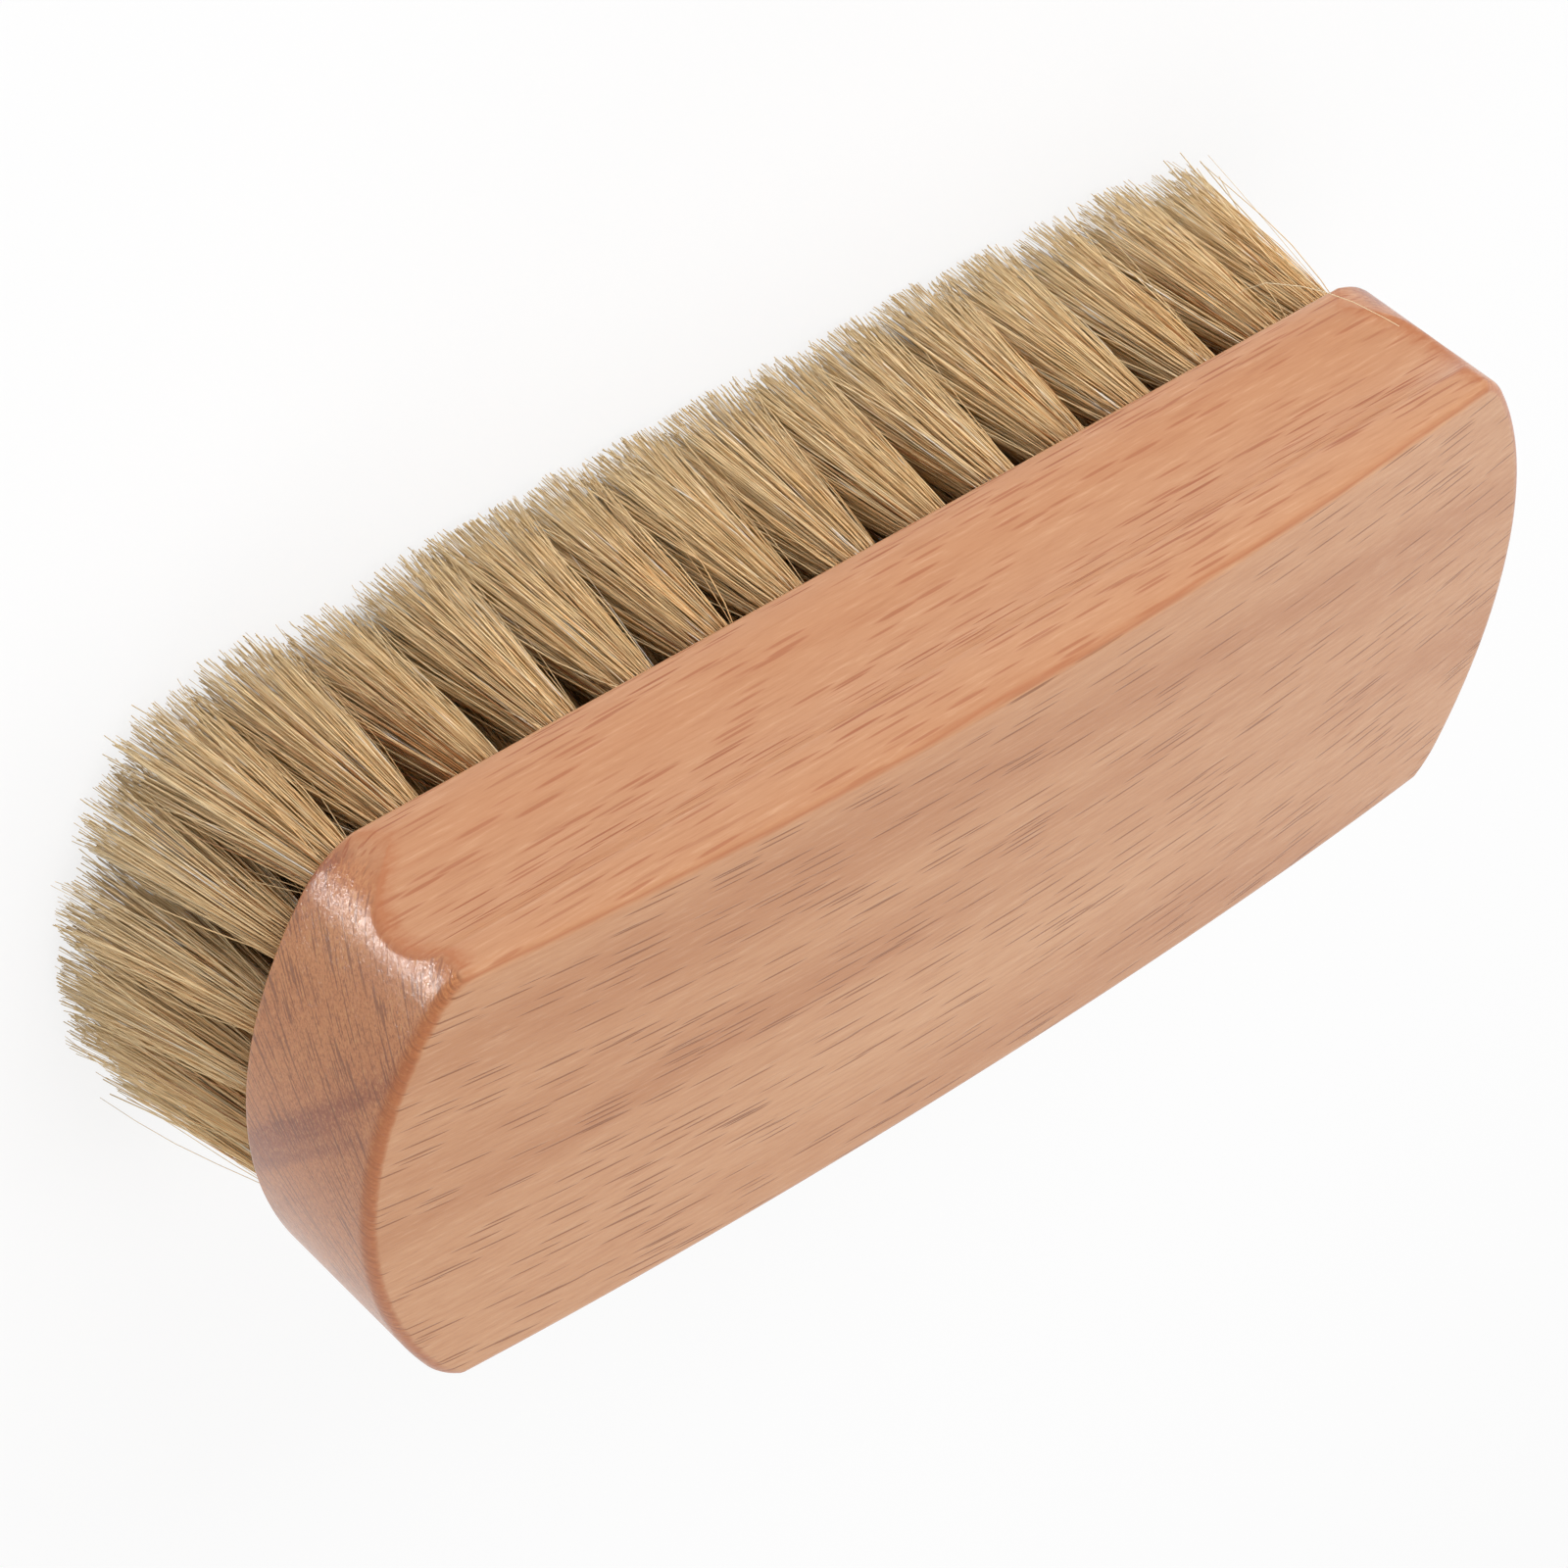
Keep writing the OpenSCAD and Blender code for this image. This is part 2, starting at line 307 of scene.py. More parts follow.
def side_reach(height):
    """Half-width of the moulding at a height above the flat face, and its inward slope."""
    if height <= BULGE_END:
        rise = height - BULGE_HEIGHT
        run = leg(BULGE_RADIUS, rise)
        return BULGE_Y + run, rise / run
    if height <= RIDGE_START:
        rise = height - GROOVE_HEIGHT
        run = leg(GROOVE_RADIUS, rise)
        return GROOVE_Y - run, -rise / run
    if height <= RIDGE_HEIGHT:
        rise = height - RIDGE_HEIGHT
        run = leg(RIDGE_RADIUS, rise)
        return RIDGE_Y + run, rise / run
    rise = height - RIDGE_HEIGHT
    run = leg(ROLL_RADIUS, rise)
    return ROLL_Y + run, rise / run


def crease_angle(height):
    """Angle at which the moulded side meets the corner arc, at this height."""
    reach = side_reach(height)[0] - CREASE_RADIUS - CORNER_Y
    return math.asin(min(1, reach / (CORNER_RADIUS - CREASE_RADIUS)))


def wall_point(turn, share, height):
    """Place of the wall in one quarter of the outline, as x and y.
    turn goes from 0 at the end's middle to 90 degrees, then share goes along the side."""
    meet = crease_angle(height)
    if turn <= END_HALF_ANGLE:
        return END_CENTRE_X + END_RADIUS * math.cos(turn), END_RADIUS * math.sin(turn)
    if turn <= meet:
        return (
            CORNER_X + CORNER_RADIUS * math.cos(turn),
            CORNER_Y + CORNER_RADIUS * math.sin(turn),
        )
    meet_x = CORNER_X + (CORNER_RADIUS - CREASE_RADIUS) * math.cos(meet)
    reach = side_reach(height)[0]
    return (
        (meet_x + CREASE_RADIUS * math.cos(turn)) * (1 - share),
        reach - CREASE_RADIUS * (1 - math.sin(turn)),
    )


def wall_lean(turn, height):
    """Upward tilt of the wall's normal, as an angle."""
    meet = crease_angle(height)
    if turn <= meet:
        return 0
    part = math.sin(turn - meet) / max(math.cos(meet), SMALLEST_COSINE)
    return math.atan(side_reach(height)[1] * min(part, 1))


def wall_column(turn, share):
    """One column of the wall, from the flat face over the edge onto the back.
    Each point is x, y, height and how burnished the wood is there."""
    x = wall_point(turn, share, END_THICKNESS)[0]
    fade = math.exp(-(wall_point(turn, 0, END_THICKNESS)[0] - x) / BURNISH_REACH)
    lowest_lean = wall_lean(turn, FOOT_RADIUS)
    foot = FOOT_RADIUS * (1 + math.sin(lowest_lean))
    lean = wall_lean(turn, crown_height(x) - RIM_RADIUS)
    brow = crown_height(x) - RIM_RADIUS * (1 - math.sin(lean))
    facing = (math.cos(turn), math.sin(turn))
    column = []
    at = wall_point(turn, share, foot)
    for step in range(FOOT_STEPS):
        tilt = -math.pi / 2 + (math.pi / 2 + lowest_lean) * step / FOOT_STEPS
        inset = FOOT_RADIUS * (math.cos(lowest_lean) - math.cos(tilt))
        height = FOOT_RADIUS * (1 + math.sin(tilt))
        column.append((at[0] - inset * facing[0], at[1] - inset * facing[1], height, 0))
    for step in range(WALL_STEPS + 1):
        height = foot + (brow - foot) * step / WALL_STEPS
        at = wall_point(turn, share, height)
        near_rim = max(0, 0.5 - (brow - height) / RIM_RADIUS) * math.cos(turn)
        crease = min(1, max(0, turn - crease_angle(height) + BURNISH_TURN))
        column.append((at[0], at[1], height, max(near_rim, crease * fade)))
    at = wall_point(turn, share, brow)
    for step in range(1, RIM_STEPS + 1):
        tilt = lean + (math.pi / 2 - lean) * step / RIM_STEPS
        inset = RIM_RADIUS * (math.cos(lean) - math.cos(tilt))
        px = at[0] - inset * facing[0]
        py = at[1] - inset * facing[1]
        height = crown_height(px) - RIM_RADIUS * (1 - math.sin(tilt))
        across = math.sin(math.pi * step / RIM_STEPS) ** 0.5
        column.append((px, py, height, max(math.cos(turn), BURNISH_SHARE * fade) * across))
    return column


def block_points():
    """Points of the wall as [column, level, (x, y, z, burnish)], round the whole outline."""
    quarter = [(math.pi / 2 * k / TURN_STEPS, 0) for k in range(TURN_STEPS + 1)]
    for k in range(1, SIDE_STEPS + 1):
        quarter.append((math.pi / 2, (k / SIDE_STEPS) ** SIDE_GATHER))
    columns = np.array([wall_column(turn, share) for turn, share in quarter])
    columns[..., 2] += FACE_Z
    flip_x = np.array([-1, 1, 1, 1])
    flip_y = np.array([1, -1, 1, 1])
    return np.concatenate(
        [
            columns,
            columns[-2::-1] * flip_x,
            columns[1:] * flip_x * flip_y,
            columns[-2:0:-1] * flip_y,
        ]
    )


def facing_pairs(count):
    """Pairs of columns that face each other across the block, from one end to the other."""
    return [(k, (count - k) % count) for k in range(count // 2 + 1)]


def cap_faces(wall, level, upward, points):
    """Faces in rows across the back or the flat face, whose inner points go into points."""
    columns, rows = wall.shape[:2]
    lines = []
    for front, back in facing_pairs(columns):
        line = [front * rows + level]
        if front != back:
            a = wall[front, level]
            b = wall[back, level]
            for k in range(1, ACROSS_STEPS):
                y = a[1] + (b[1] - a[1]) * k / ACROSS_STEPS
                z = FACE_Z + crown_height(a[0]) if upward else FACE_Z
                points.append((a[0], y, z, 0))
                line.append(len(points) - 1)
            line.append(back * rows + level)
        lines.append(line)
    faces = []
    for one, other in zip(lines, lines[1:]):
        if len(one) == 1 or len(other) == 1:
            tip, side = (one, other) if len(one) == 1 else (other, one)
            row = [(tip[0], side[k], side[k + 1]) for k in range(len(side) - 1)]
            turned = (len(one) == 1) != upward
        else:
            row = [(one[k], other[k], other[k + 1], one[k + 1]) for k in range(ACROSS_STEPS)]
            turned = not upward
        faces += [tuple(reversed(face)) if turned else face for face in row]
    return faces


def block_mesh():
    """The whole block: walls with the groove, sanded edges, crowned back and flat face."""
    wall = block_points()
    columns, rows = wall.shape[:2]
    points = wall.reshape(-1, 4).tolist()
    faces = []
    for c in range(columns):
        after = (c + 1) % columns
        for r in range(rows - 1):
            faces.append((c * rows + r, after * rows + r, after * rows + r + 1, c * rows + r + 1))
    faces += cap_faces(wall, rows - 1, True, points)
    faces += cap_faces(wall, 0, False, points)
    return np.array(points), faces


def make_block(material):
    points, faces = block_mesh()
    block = new_mesh("beech_block", points[:, :3], faces, rim=points[:, 3])
    place_piece(block, material, "beech", "block")


# Tufts
def ring_reach(y):
    """How far along X the outer ring of tufts goes at this y."""
    return END_CENTRE_X + leg(END_RADIUS - RING_INSET, y)


RING_Y = HALF_WIDTH - RING_INSET
ROW_STEP = 2 * RING_Y / (INNER_ROWS + 1)
CORNER_TUFT = (
    CORNER_X + (CORNER_RADIUS - RING_INSET) * math.cos(CORNER_TURN),
    CORNER_Y + (CORNER_RADIUS - RING_INSET) * math.sin(CORNER_TURN),
)
SIDE_STEP = 2 * CORNER_TUFT[0] / (SIDE_TUFTS - 1 + 2 * CORNER_SHARE)


def tuft_places():
    """Node name to the places of its tufts on the flat face."""
    places = {}
    for i in range(SIDE_TUFTS):
        x = (i - (SIDE_TUFTS - 1) / 2) * SIDE_STEP
        places[f"tuft_front_{i + 1}"] = [(x, -RING_Y)]
        places[f"tuft_back_{i + 1}"] = [(x, RING_Y)]
    rows = [-RING_Y + j * ROW_STEP for j in range(1, INNER_ROWS + 1)]
    end = [(CORNER_TUFT[0], -CORNER_TUFT[1])]
    end += [(ring_reach(y), y) for y in rows]
    end += [CORNER_TUFT]
    for j, (x, y) in enumerate(end):
        places[f"tuft_left_{j + 1}"] = [(-x, y)]
        places[f"tuft_right_{j + 1}"] = [(x, y)]
    for j, y in enumerate(rows):
        reach = ring_reach(y)
        places[f"inner_tufts_{j + 1}"] = [
            (reach * (2 * i / (INNER_TUFTS + 1) - 1), y) for i in range(1, INNER_TUFTS + 1)
        ]
    return places


def tuft_lean(place):
    """Shift of a tuft's middle between the flat face and the tips, without the sway."""
    u = place[0] / ring_reach(0)
    v = place[1] / RING_Y
    lean = TIP_LEAN * np.array([u * (1 - v**2), v * (1 - u**2)])
    lean -= TIP_SKEW * u * v * np.array([u, 0])
    return lean


def hair_lines(place, count, rng):
    """Centre lines of one tuft's hairs as [hair, ring, xyz], and where each hair sits in it.
    The hairs sit a golden angle apart, drawn to the nearest of a few clumps."""
    number = np.arange(count)
    out = np.sqrt((number + 0.5) / count)
    turn = number * math.pi * (3 - math.sqrt(5)) + rng.uniform(0, SEAT_SCATTER, count)
    seat = np.stack([np.cos(turn), np.sin(turn)], 1) * out[:, None]
    root = np.array(place) + seat * TUFT_ROOT_RADIUS
    lean = tuft_lean(place) + (np.array(TIP_SWAY) + rng.normal(0, LEAN_SCATTER, 2))
    centres = rng.uniform(-CLUMP_SPAN, CLUMP_SPAN, (CLUMPS, 2))
    clump = np.linalg.norm(seat[:, None] - centres[None], axis=2).argmin(axis=1)
    fan = TUFT_FAN * rng.uniform(1 - FAN_SCATTER, 1 + FAN_SCATTER)
    spread = (SEAT_SHARE * seat + CLUMP_SHARE * centres[clump]) * fan + lean
    spread += rng.normal(0, TIP_SCATTER, (count, 2))
    stray = rng.random(count) < STRAY_SHARE
    spread[stray] += rng.uniform(-STRAY_TIP, STRAY_TIP, (stray.sum(), 2))
    farthest = np.array(FARTHEST_TIP) - rng.uniform(0, EDGE_SCATTER, (count, 2))
    spread = np.clip(root + spread, -farthest, farthest) - root
    tip_z = np.abs(rng.normal(0, TRIM_SCATTER, count))
    tip_z += rng.uniform(0, CLUMP_TRIM, CLUMPS)[clump]
    short = rng.random(count) < SHORT_SHARE
    tip_z[short] += rng.uniform(*SHORT_BY, short.sum())
    bend = rng.normal(0, BEND, (count, 2))
    bend[stray] = rng.uniform(-STRAY_BEND, STRAY_BEND, (stray.sum(), 2))
    curl = rng.normal(0, CURL, (count, 2))
    along = np.linspace(0, 1, HAIR_RINGS)
    sideways = (1 - HAIR_FLARE) * along + HAIR_FLARE * along**2
    wave = np.sin(math.pi * along)
    second_wave = np.sin(2 * math.pi * along)
    lines = np.empty((count, HAIR_RINGS, 3))
    lines[..., :2] = (
        root[:, None]
        + spread[:, None] * sideways[None, :, None]
        + bend[:, None] * wave[None, :, None]
        + curl[:, None] * second_wave[None, :, None]
    )
    root_z = FACE_Z + ROOT_DEPTH
    lines[..., 2] = root_z + (tip_z - root_z)[:, None] * along[None]
    return lines, seat


def hair_tones(brown_share, rng):
    """Tone of each hair, from the share of brown hairs where it sits."""
    count = len(brown_share)
    tone = STRAW_TONE + (1 - STRAW_TONE) * rng.beta(2, 2, count)
    brown = rng.random(count) < brown_share
    tone[brown] = rng.uniform(*BROWN_TONES, brown.sum())
    tone[rng.random(count) < BLACK_SHARE] = BLACK_TONE
    return tone


def hair_mesh(lines, tone, thickness):
    """Tapering strands round the centre lines, closed at both ends, with the tone of each
    point and its share of the way from root to tip."""
    count, rings = lines.shape[:2]
    way = lines[:, -1] - lines[:, 0]
    way /= np.linalg.norm(way, axis=1)[:, None]
    side = np.cross(way, [1, 0, 0])
    side /= np.linalg.norm(side, axis=1)[:, None]
    other = np.cross(way, side)
    along = np.linspace(0, 1, rings)
    radius = (thickness[:, None] * (1 - HAIR_TAPER * along**2)[None])[..., None]
    points = np.empty((count, rings, HAIR_SIDES, 3))
    for k in range(HAIR_SIDES):
        turn = 2 * math.pi * k / HAIR_SIDES
        off = side * math.cos(turn) + other * math.sin(turn)
        points[:, :, k] = lines + off[:, None] * radius
    base = (np.arange(count) * rings * HAIR_SIDES)[:, None]
    start = base + (np.arange(rings - 1) * HAIR_SIDES)[None]
    over = start + HAIR_SIDES
    quads = []
    for k in range(HAIR_SIDES):
        after = (k + 1) % HAIR_SIDES
        quads.append(np.stack([start + k, start + after, over + after, over + k], -1))
    quads = np.stack(quads, 2).reshape(-1, 4).tolist()
    last = (rings - 1) * HAIR_SIDES
    caps = [tuple(range(b, b + HAIR_SIDES))[::-1] for b in base[:, 0].tolist()]
    caps += [tuple(range(b + last, b + last + HAIR_SIDES)) for b in base[:, 0].tolist()]
    tones = np.repeat(tone, rings * HAIR_SIDES)
    alongs = np.tile(np.repeat(along, HAIR_SIDES), count)
    return points.reshape(-1, 3), quads + caps, tones, alongs


def make_tufts(material):
    for number, (node, places) in enumerate(tuft_places().items()):
        rng = np.random.default_rng(FIRST_SEED + number)
        inner = node.startswith("inner")
        lines = []
        tones = []
        for place in places:
            tuft, seat = hair_lines(place, INNER_HAIRS if inner else RING_HAIRS, rng)
            # Painted shade: hairs deep in a tuft, and all inner tufts, get more brown hairs
            in_painted_shade = np.linalg.norm(seat, axis=1) < PAINTED_SHADE_SEAT
            share = np.where(in_painted_shade | inner, PAINTED_SHADE_BROWN, BROWN_SHARE)
            share[(node == BROWN_TUFT) & (seat[:, 0] > BROWN_TUFT_SEAT)] = BROWN_TUFT_SHARE
            lines.append(tuft)
            tones.append(hair_tones(share, rng))
        lines = np.concatenate(lines)
        tones = np.concatenate(tones)
        thickness = HAIR_RADIUS * rng.uniform(*HAIR_SIZES, len(tones))
        points, faces, tone, along = hair_mesh(lines, tones, thickness)
        tuft = new_mesh("bristle_" + node, points, faces, tone=tone, along=along)
        place_piece(tuft, material, "bristle", node)


def make_stray_hairs(material):
    for number, (tone, route) in enumerate(STRAY_HAIRS):
        line = np.array([route]) * MM
        thickness = np.array([HAIR_RADIUS])
        points, faces, tone, along = hair_mesh(line, np.array([tone]), thickness)
        hair = new_mesh(f"stray_hair_{number + 1}", points, faces, tone=tone, along=along)
        place_piece(hair, material, "bristle")


# Materials
def new_material(name):
    material = bpy.data.materials.new(name)
    material.use_nodes = True
    material.node_tree.nodes.clear()
    return material, material.node_tree


def add(tree, kind, inputs=None, **settings):
    """A node with its settings, and each input set to a value or linked to a socket."""
    node = tree.nodes.new(kind)
    for key, value in settings.items():
        setattr(node, key, value)
    for key, value in (inputs or {}).items():
        if isinstance(value, bpy.types.NodeSocket):
            tree.links.new(value, node.inputs[key])
        else:
            node.inputs[key].default_value = value
    return node


def ramp(tree, factor, stops):
    """A colour ramp from (position, colour) stops; a number stands for a grey."""
    node = add(tree, "ShaderNodeValToRGB", {"Fac": factor})
    band = node.color_ramp
    while len(band.elements) < len(stops):
        band.elements.new(0.5)
    for element, (position, colour) in zip(band.elements, stops):
        element.position = position
        grey = isinstance(colour, (int, float))
        element.color = (colour,) * 3 + (1,) if grey else (*colour, 1)
    return node.outputs["Color"]


def mix(tree, factor, a, b):
    """Colour a where the factor is 0, and b where it is 1."""
    node = add(tree, "ShaderNodeMix", data_type="RGBA")
    for key, value in ((0, factor), (6, a), (7, b)):
        if isinstance(value, bpy.types.NodeSocket):
            tree.links.new(value, node.inputs[key])
        elif isinstance(value, tuple):
            node.inputs[key].default_value = (*value, 1)
        else:
            node.inputs[key].default_value = value
    return node.outputs[2]


def maths(tree, operation, a, b=0.0):
    node = add(tree, "ShaderNodeMath", {0: a, 1: b}, operation=operation)
    return node.outputs[0]


def mapped(tree, vector, scale=(1, 1, 1), turn=(0, 0, 0), offset=(0, 0, 0)):
    node = add(
        tree,
        "ShaderNodeMapping",
        {"Vector": vector, "Scale": scale, "Rotation": turn, "Location": offset},
    )
    return node.outputs["Vector"]


def noise(tree, place, scale, detail=2.0, roughness=0.5, distortion=0.0, offset=(0, 0, 0)):
    """Noise from about 0 to 1, with a scale along each axis, per metre."""
    node = add(
        tree,
        "ShaderNodeTexNoise",
        {
            "Vector": mapped(tree, place, scale, offset=offset),
            "Scale": 1.0,
            "Detail": detail,
            "Roughness": roughness,
            "Distortion": distortion,
        },
    )
    return node.outputs["Fac"]


def spots(tree, place, scale):
    """Distance to the nearest of points that are strewn evenly, one to a unit cube once
    the place is scaled along each axis."""
    vector = mapped(tree, place, scale)
    return add(tree, "ShaderNodeTexVoronoi", {"Vector": vector, "Scale": 1.0}).outputs["Distance"]


def bump(tree, height, strength, normal=None, invert=False):
    inputs = {"Height": height, "Strength": strength, "Distance": BUMP_DEPTH}
    if normal is not None:
        inputs["Normal"] = normal
    return add(tree, "ShaderNodeBump", inputs, invert=invert).outputs["Normal"]


def attribute(tree, name):
    return add(tree, "ShaderNodeAttribute", attribute_name=name).outputs["Fac"]


def finish_surface(tree, inputs):
    shader = add(tree, "ShaderNodeBsdfPrincipled", inputs)
    add(tree, "ShaderNodeOutputMaterial", {"Surface": shader.outputs[0]})


def log_axes(tree, vector):
    """The vector along the log's own axes: fibres, rays, and growth rings."""
    return mapped(tree, vector, turn=(-RAY_TURN, 0, 0))


def ray_flecks(tree, wood, normal):
    """Short dashes where a face cuts the wood's rays, faint where it lies along them."""
    dashes = ramp(tree, spots(tree, wood, FLECK_SCALE), [(0.2, 1.0), (0.27, 0.0)])
    across = add(tree, "ShaderNodeSeparateXYZ", {0: log_axes(tree, normal)}).outputs["Z"]
    across = ramp(tree, maths(tree, "ABSOLUTE", across), [(0.75, 1.0), (0.93, 0.1)])
    return maths(tree, "MULTIPLY", dashes, across)


def long_grain(tree, wood, side, fibres, flecks):
    """Colour of the wood along its fibres, which is redder and streaked on the long sides, and
    darker there as painted shade.
    """
    bands = noise(tree, wood, BAND_SCALE, 2, 0.5, 0.4)
    colour = ramp(tree, bands, [(0.34, BAND_DARK), (0.46, BAND_MIDDLE), (0.68, BAND_PALE)])
    # The long sides are redder, and darker as painted shade
    colour = mix(tree, maths(tree, "MULTIPLY", side, 0.5), colour, SIDE_RED_AND_PAINTED_SHADE)
    colour = mix(tree, ramp(tree, fibres, [(0.32, 0.3), (0.5, 0.0)]), colour, FIBRE_DARK)
    colour = mix(tree, ramp(tree, fibres, [(0.55, 0.0), (0.75, 0.4)]), colour, FIBRE_PALE)
    fleck = mix(tree, side, FLECK_BACK, FLECK_SIDE)
    colour = mix(tree, maths(tree, "MULTIPLY", flecks, 0.8), colour, fleck)
    streaks = ramp(tree, spots(tree, wood, STREAK_SCALE), [(0.2, 0.6), (0.32, 0.0)])
    return mix(tree, maths(tree, "MULTIPLY", streaks, side), colour, STREAK_RED)


def end_grain(tree, wood):
    """Colour of the wood across its fibres: growth rings, speckle, and fine dark lines."""
    rings = noise(tree, wood, RING_SCALE, 2, 0.5, 0.5, RING_OFFSET)
    grain = ramp(tree, rings, [(0.36, RING_DARK), (0.43, RING_MIDDLE), (0.7, RING_PALE)])
    speckle = noise(tree, wood, SPECKLE_SCALE, 2, 0.8)
    grain = mix(tree, ramp(tree, speckle, [(0.32, 0.6), (0.5, 0.0)]), grain, SPECKLE_DARK)
    grain = mix(tree, ramp(tree, speckle, [(0.52, 0.0), (0.72, 0.7)]), grain, SPECKLE_PALE)
    lines = ramp(tree, noise(tree, wood, LINE_SCALE, 1, 0.4, 0.15), [(0.57, 0.0), (0.64, 0.6)])
    return mix(tree, lines, grain, LINE_DARK)


def brow_line(tree, place, facing):
    """Share of the ragged reddish line where each long side turns into the back."""
    torn = noise(tree, place, BROW_SCALE, 2, 0.6)
    slope = maths(tree, "ADD", maths(tree, "ABSOLUTE", facing["Y"]), torn)
    line = ramp(tree, maths(tree, "MULTIPLY", slope, 0.5), [(0.36, 0.0), (0.5, 0.75), (0.66, 0.0)])
    return maths(tree, "MULTIPLY", line, ramp(tree, facing["Z"], [(0.4, 0.0), (0.6, 1.0)]))


def burnished(tree, wood):
    """Share of the darker colour along worn edges, broken up by the grain."""
    rough = ramp(tree, noise(tree, wood, WEAR_SCALE, 2, 0.6), [(0.3, 0.6), (0.7, 1.2)])
    rim = maths(tree, "MULTIPLY", attribute(tree, "rim"), rough)
    return ramp(tree, rim, [(0.25, 0.0), (0.85, 0.75)])


def beech():
    """Lacquered beech, solid through and through, as each face cuts it."""
    material, tree = new_material("lacquered_beech")
    place = add(tree, "ShaderNodeTexCoord").outputs
    wood = log_axes(tree, place["Object"])
    facing = add(tree, "ShaderNodeSeparateXYZ", {0: place["Normal"]}).outputs
    end = ramp(tree, maths(tree, "ABSOLUTE", facing["X"]), [(0.3, 0.0), (0.55, 1.0)])
    side = ramp(tree, maths(tree, "ABSOLUTE", facing["Y"]), [(0.25, 0.0), (0.9, 1.0)])
    fibres = noise(tree, wood, FIBRE_SCALE, 3, 0.7)
    flecks = ray_flecks(tree, wood, place["Normal"])

    colour = long_grain(tree, wood, side, fibres, flecks)
    colour = mix(tree, brow_line(tree, place["Object"], facing), colour, BROW_RED)
    colour = mix(tree, end, colour, end_grain(tree, wood))
    colour = mix(tree, burnished(tree, wood), colour, BURNISH_RED)

    pores = bump(tree, flecks, 0.3, invert=True)
    wrinkles = noise(tree, wood, WRINKLE_SCALE, 3, 0.65, 1.5)
    finish_surface(
        tree,
        {
            "Base Color": colour,
            "Roughness": ramp(tree, fibres, [(0.3, 0.5), (0.7, 0.38)]),
            "Specular IOR Level": 0.25,
            "Normal": pores,
            "Coat Weight": 0.6,
            "Coat Roughness": 0.14,
            "Coat Normal": bump(tree, wrinkles, 0.9, pores),
        },
    )
    return material


def bristle():
    """Natural bristle: straw hairs with some reddish and black ones, paler at the tips, with
    painted shade at the roots and painted glints on the palest hairs.
    """
    material, tree = new_material("blond_bristle")
    tone = attribute(tree, "tone")
    along = attribute(tree, "along")
    where = add(tree, "ShaderNodeTexCoord").outputs["Object"]
    colour = ramp(tree, tone, HAIR_COLOURS)
    patches = ramp(tree, noise(tree, where, PATCH_SCALE), [(0.35, 0.12), (0.6, 0.0)])
    colour = mix(tree, patches, colour, PATCH_BROWN)
    # Painted shade: darker brown towards the roots, where the tufts shade each other near the wood
    colour = mix(tree, ramp(tree, along, [(0.0, 0.35), (0.3, 0.0)]), colour, PAINTED_ROOT_SHADE)
    pale = mix(tree, 0.8, colour, TIP_PALE)
    colour = mix(tree, ramp(tree, along, [(0.4, 0.0), (0.95, 1.0)]), colour, pale)
    # Painted glints: white flecks on the palest hairs, in place of highlights
    painted_glints = ramp(tree, noise(tree, where, GLINT_SCALE, 1), [(0.6, 0.0), (0.65, 1.0)])
    painted_glints = maths(tree, "MULTIPLY", painted_glints, ramp(tree, tone, [(0.8, 0.0), (0.82, 1.0)]))
    finish_surface(
        tree,
        {
            "Base Color": mix(tree, painted_glints, colour, PAINTED_GLINT_WHITE),
            "Roughness": 0.4,
            "Specular IOR Level": 0.2,
            "Sheen Weight": 1.0,
            "Sheen Roughness": 0.5,
            "Sheen Tint": SHEEN_TINT,
        },
    )
    return material


def anchor_wire():
    """Drawn steel wire, with fine marks along it."""
    material, tree = new_material("drawn_wire")
    where = add(tree, "ShaderNodeTexCoord").outputs["Object"]
    marks = noise(tree, where, WIRE_SCALE)
    colour = ramp(tree, marks, [(0.3, (0.42, 0.42, 0.43)), (0.7, (0.6, 0.6, 0.61))])
    finish_surface(tree, {"Base Color": colour, "Metallic": 1.0, "Roughness": 0.35})
    return material


# Studio
def clear(tree):
    """1 for what the camera sees directly, in a reflection or through glass, and else 0."""
    ray = add(tree, "ShaderNodeLightPath").outputs
    seen = maths(tree, "ADD", ray["Is Camera Ray"], ray["Is Glossy Ray"])
    return maths(tree, "MINIMUM", maths(tree, "ADD", seen, ray["Is Transmission Ray"]), 1.0)


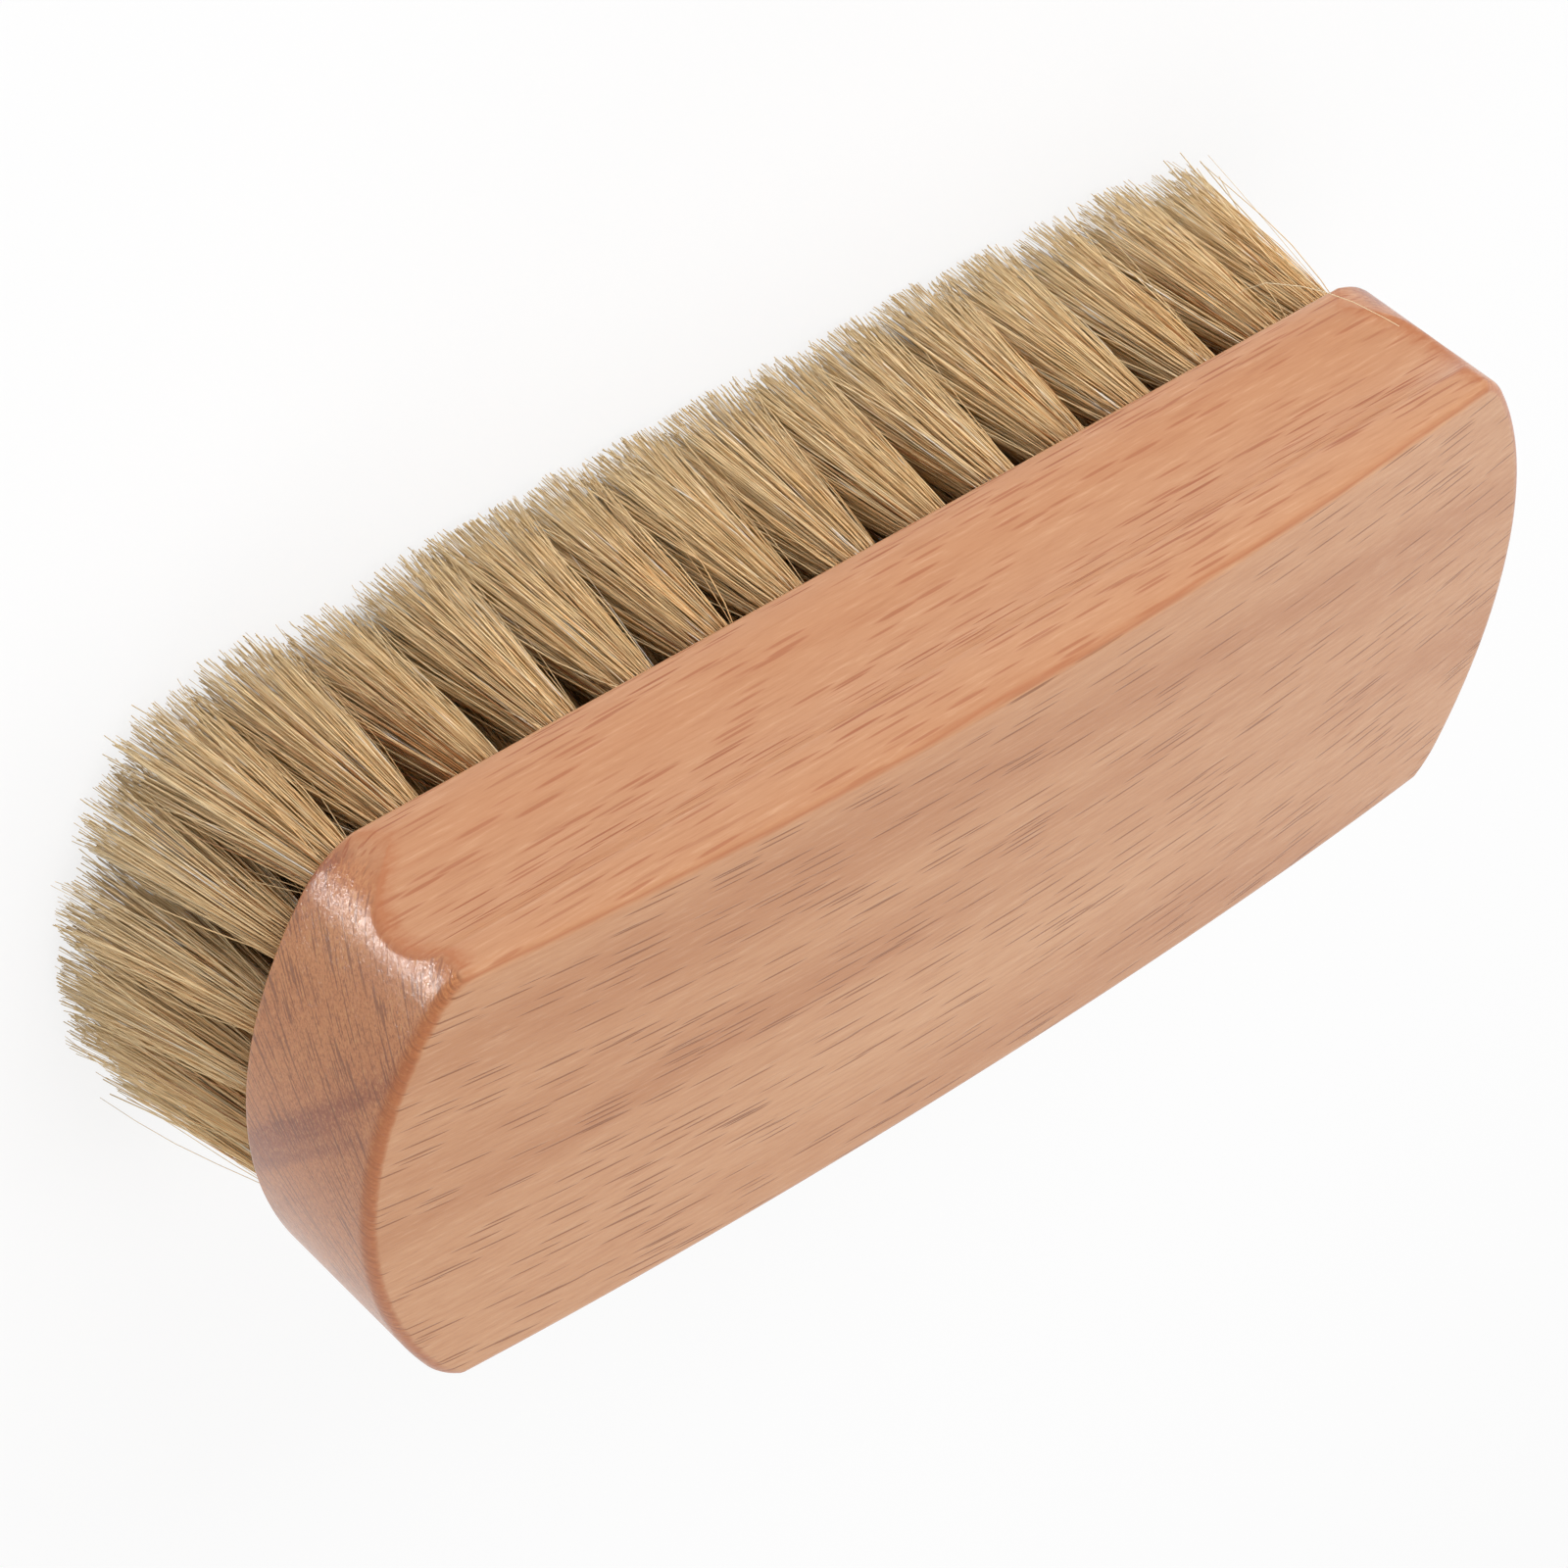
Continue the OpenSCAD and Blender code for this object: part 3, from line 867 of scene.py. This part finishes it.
def make_floor():
    """Pale floor that looks white but keeps the brush's shadow, and is clear from below."""
    r = FLOOR_REACH
    corners = np.array([(-r, -r, 0), (r, -r, 0), (r, r, 0), (-r, r, 0)], float)
    floor = new_mesh("floor", corners, [(0, 1, 2, 3)], smooth=False)
    floor.location.z = -FLOOR_DROP
    material, tree = new_material("pale_floor")
    paint = add(tree, "ShaderNodeBsdfDiffuse", {"Color": FLOOR_WHITE})
    glow = add(tree, "ShaderNodeEmission", {"Strength": 1.0})
    place = add(tree, "ShaderNodeTexCoord").outputs["Object"]
    axes = add(tree, "ShaderNodeSeparateXYZ", {0: place}).outputs
    along = maths(tree, "POWER", maths(tree, "DIVIDE", axes["X"], FOOTPRINT[0]), 4)
    across = maths(tree, "POWER", maths(tree, "DIVIDE", axes["Y"], FOOTPRINT[1]), 4)
    outside = ramp(tree, maths(tree, "ADD", along, across), [(0.4, 0.0), (1.0, 0.8)])
    distance = add(tree, "ShaderNodeVectorMath", {0: place}, operation="LENGTH").outputs["Value"]
    far = ramp(tree, distance, [(0.25, 0.0), (0.6, 1.0)])
    share = maths(tree, "MULTIPLY", clear(tree), maths(tree, "MAXIMUM", outside, far))
    both = add(tree, "ShaderNodeMixShader", {0: share, 1: paint.outputs[0], 2: glow.outputs[0]})
    below = add(tree, "ShaderNodeNewGeometry").outputs["Backfacing"]
    nothing = add(tree, "ShaderNodeBsdfTransparent")
    shown = add(tree, "ShaderNodeMixShader", {0: below, 1: both.outputs[0], 2: nothing.outputs[0]})
    add(tree, "ShaderNodeOutputMaterial", {"Surface": shown.outputs[0]})
    floor.data.materials.append(material)


def make_world():
    """Weak even light, with a white background where the camera sees it."""
    world = bpy.data.worlds.new("studio")
    bpy.context.scene.world = world
    world.use_nodes = True
    tree = world.node_tree
    tree.nodes.clear()
    light = add(tree, "ShaderNodeBackground", {"Color": (1, 1, 1, 1), "Strength": AMBIENT})
    white = add(tree, "ShaderNodeBackground", {"Color": (1, 1, 1, 1), "Strength": 1.0})
    both = add(
        tree,
        "ShaderNodeMixShader",
        {0: clear(tree), 1: light.outputs[0], 2: white.outputs[0]},
    )
    add(tree, "ShaderNodeOutputWorld", {"Surface": both.outputs[0]})


def area_lamp(name, place, width, height, power):
    data = bpy.data.lights.new(name, "AREA")
    data.shape = "RECTANGLE"
    data.size = width
    data.size_y = height
    data.energy = power
    lamp = bpy.data.objects.new(name, data)
    bpy.context.scene.collection.objects.link(lamp)
    lamp.location = place
    lamp.rotation_euler = (Vector(LAMP_AIM) - Vector(place)).to_track_quat("-Z", "Y").to_euler()
    lamp.visible_camera = False
    return lamp


def make_lamps():
    """Three softboxes without reflections, and a low strip that only shines on the corner."""
    for softbox in SOFTBOXES:
        area_lamp(*softbox).visible_glossy = False
    strip = area_lamp("corner_strip", (0.122, -0.056, 0.0015), 0.036, 0.02, 0.07)
    strip.rotation_euler = (math.pi, 0, math.radians(-29))
    strip.visible_diffuse = False


def make_camera():
    data = bpy.data.cameras.new("photo_camera")
    data.sensor_width = SENSOR_WIDTH
    data.lens = CAMERA_LENS
    data.clip_start = 0.01
    data.clip_end = 20
    camera = bpy.data.objects.new("photo_camera", data)
    bpy.context.scene.collection.objects.link(camera)
    turn = Matrix((CAMERA_RIGHT, CAMERA_UP, CAMERA_BACK)).transposed()
    camera.matrix_world = Matrix.Translation(CAMERA_PLACE) @ turn.to_4x4()
    bpy.context.scene.camera = camera


make_camera()
make_world()
make_lamps()
make_floor()
make_block(beech())
hair = bristle()
make_tufts(hair)
make_stray_hairs(hair)
wire_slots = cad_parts["anchors"].data.materials
wire_slots.clear()
wire_slots.append(anchor_wire())
bpy.context.scene.view_settings.view_transform = "Standard"
